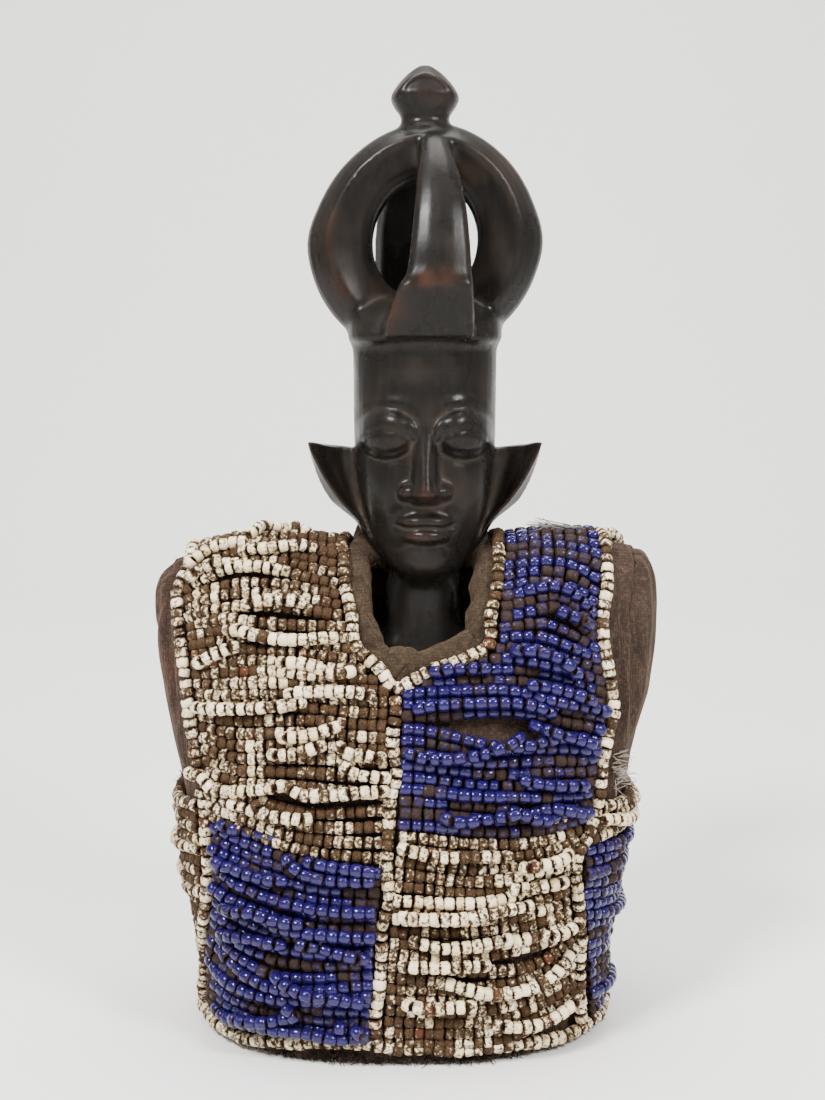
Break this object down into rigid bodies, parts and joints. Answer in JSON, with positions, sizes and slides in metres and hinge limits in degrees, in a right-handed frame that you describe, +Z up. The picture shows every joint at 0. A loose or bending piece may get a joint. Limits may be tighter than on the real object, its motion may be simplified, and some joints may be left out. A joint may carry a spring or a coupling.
{
  "type": "ibeji figure",
  "caption": "Carved dark wood twin figure with a crested ring coiffure, standing in a cloth tunic chequered with strings of white and blue glass beads.",
  "frame": {"origin": "on the floor under the middle of the tunic's hem", "axes": "+Z up, the figure faces -Y, and +X is to the right as one looks at its front"},
  "size_m": [0.151, 0.09, 0.2897],
  "materials": {
    "oiled_dark_wood": "satin, dark patina",
    "brown_cotton": "coarse worn cotton",
    "white_glass_beads": "opaque white, weathered",
    "blue_glass_beads": "opaque cobalt blue, glossy"
  },
  "bodies": {
    "root": {"wooden_figure": "oiled_dark_wood", "tunic_cloth": "brown_cotton", "front_left_upper_beads": "white_glass_beads", "front_right_lower_beads": "white_glass_beads", "back_left_upper_beads": "white_glass_beads", "back_right_lower_beads": "white_glass_beads", "left_side_upper_beads": "white_glass_beads", "right_side_upper_beads": "white_glass_beads", "left_edge_string": "white_glass_beads", "right_edge_string": "white_glass_beads", "front_centre_string": "white_glass_beads", "back_centre_string": "white_glass_beads", "neck_string": "white_glass_beads", "hem_string": "white_glass_beads", "front_right_upper_beads": "blue_glass_beads", "front_left_lower_beads": "blue_glass_beads", "back_right_upper_beads": "blue_glass_beads", "back_left_lower_beads": "blue_glass_beads", "left_side_lower_beads": "blue_glass_beads", "right_side_lower_beads": "blue_glass_beads"}
  },
  "joints": []
}
